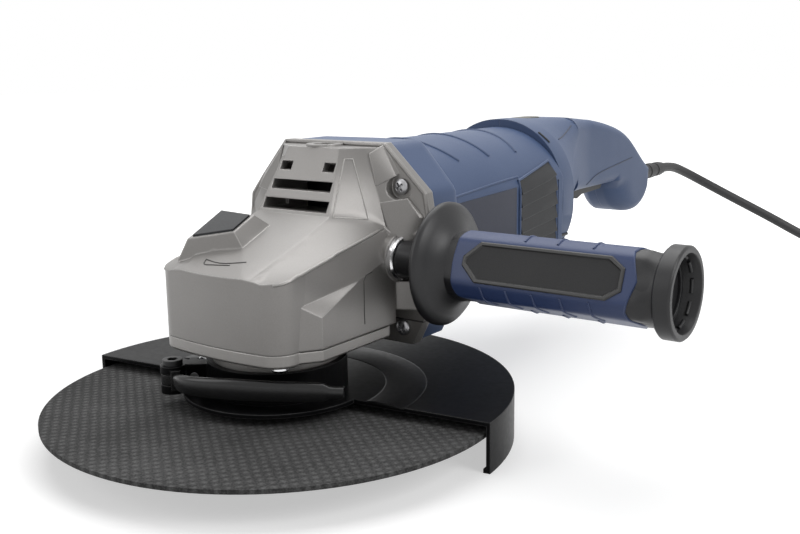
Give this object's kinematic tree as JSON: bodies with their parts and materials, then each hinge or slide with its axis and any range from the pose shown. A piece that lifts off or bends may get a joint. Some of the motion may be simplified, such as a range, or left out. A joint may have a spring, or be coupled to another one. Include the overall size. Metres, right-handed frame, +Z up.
{
  "type": "angle grinder",
  "caption": "Large two-handed corded angle grinder with a cutting disc, swinging guard, side handle, swivelling rear grip with a trigger, and a coiled mains lead.",
  "frame": {"origin": "centre of the spindle's free lower end, under the clamp nut", "axes": "+Z up along the spindle, +Y back along the motor axis to the rear grip, +X out along the side handle"},
  "size_m": [0.4148, 0.6976, 0.145],
  "materials": {
    "casting": "satin nickel-grey paint on cast metal",
    "steel": "machined steel",
    "bright_steel": "bright zinc plated screws",
    "disc": "resin-bonded abrasive, dark grey",
    "guard_black": "gloss black paint on sheet steel",
    "blue_plastic": "satin grey-blue moulded plastic",
    "black_plastic": "satin black moulded plastic",
    "rubber": "black rubber",
    "copper": "enamelled copper",
    "bronze": "sintered bronze",
    "laminate": "stacked sheet iron",
    "carbon": "pressed carbon"
  },
  "bodies": {
    "body": {"gear_case": "casting", "bearing_cover": "casting", "cover_screws": "bright_steel", "flange_screws": "bright_steel", "lower_bearing_outer": "steel", "upper_bush": "bronze", "front_bearing_outer": "steel", "rear_bearing_outer": "steel", "motor_housing": "blue_plastic", "air_baffle": "black_plastic", "stator_core": "laminate", "field_coils": "copper", "vent_grilles": "black_plastic", "brush_holders": "bronze", "carbon_brushes": "carbon", "lock_spring": "steel", "side_handle_stud": "steel", "side_handle_ring": "bright_steel", "side_handle_core": "black_plastic", "side_handle_sleeve": "blue_plastic", "side_handle_panels": "black_plastic", "side_handle_cup": "black_plastic", "power_cord": "rubber", "cord_coil": "rubber", "cord_tie": "black_plastic", "plug_body": "rubber", "plug_pins": "bright_steel"},
    "spindle_set": {"spindle": "steel", "crown_gear": "steel", "lower_bearing_inner": "steel", "inner_flange": "steel", "clamp_nut": "steel", "cutting_disc": "disc", "disc_ring": "bright_steel"},
    "armature_set": {"armature_shaft": "steel", "pinion": "steel", "cooling_fan": "black_plastic", "armature_core": "laminate", "armature_windings": "copper", "commutator": "copper", "front_bearing_inner": "steel", "rear_bearing_inner": "steel"},
    "lock": {"lock_button": "black_plastic", "lock_pin": "steel"},
    "guard": {"guard_shell": "guard_black", "clamp_band": "guard_black", "clamp_bolt": "steel", "lever_pin": "guard_black"},
    "lever": {"clamp_lever": "guard_black"},
    "rear_handle": {"handle_left": "blue_plastic", "handle_right": "blue_plastic", "handle_screws": "steel", "switch_module": "black_plastic", "trigger_pin": "steel", "trigger_spring": "steel", "swivel_spring": "steel", "strain_relief": "rubber"},
    "trigger_lever": {"trigger": "black_plastic"},
    "swivel_lock": {"swivel_button": "black_plastic"}
  },
  "joints": [
    {"name": "armature_spin", "type": "hinge", "parent": "body", "child": "armature_set", "pos_m": [0, 0.1, 0.085], "axis": [0, 1, 0], "continuous": true},
    {"name": "spindle_spin", "type": "hinge", "parent": "body", "child": "spindle_set", "pos_m": [0, 0, 0.02], "axis": [0, 0, 1], "continuous": true},
    {"name": "lock_press", "type": "slide", "parent": "body", "child": "lock", "axis": [0, 0, -1], "range_m": [0, 0.004], "stiffness_N_per_m": 600, "springref_m": -0.002, "deforming": ["lock_spring"]},
    {"name": "guard_turn", "type": "hinge", "parent": "body", "child": "guard", "pos_m": [0, 0, 0.02], "axis": [0, 0, 1], "range_deg": [-60, 75]},
    {"name": "lever_swing", "type": "hinge", "parent": "guard", "child": "lever", "pos_m": [-0.03447, -0.038, 0.0285], "axis": [0, 0, -1], "range_deg": [0, 110]},
    {"name": "rear_swivel", "type": "hinge", "parent": "body", "child": "rear_handle", "pos_m": [0, 0.22, 0.085], "axis": [0, 1, 0], "range_deg": [-90, 90]},
    {"name": "trigger_squeeze", "type": "hinge", "parent": "rear_handle", "child": "trigger_lever", "pos_m": [0, 0.366, 0.0944], "axis": [-1, 0, 0], "range_deg": [0, 5], "stiffness_Nm_per_rad": 3, "springref_deg": -3.44, "deforming": ["trigger_spring"]},
    {"name": "swivel_press", "type": "slide", "parent": "rear_handle", "child": "swivel_lock", "axis": [0, 0, -1], "range_m": [0, 0.0025], "stiffness_N_per_m": 500, "springref_m": -0.002, "deforming": ["swivel_spring"]}
  ],
  "couplings": [
    {"joint": "spindle_spin", "follows": "armature_spin", "ratio": 0.25}
  ]
}
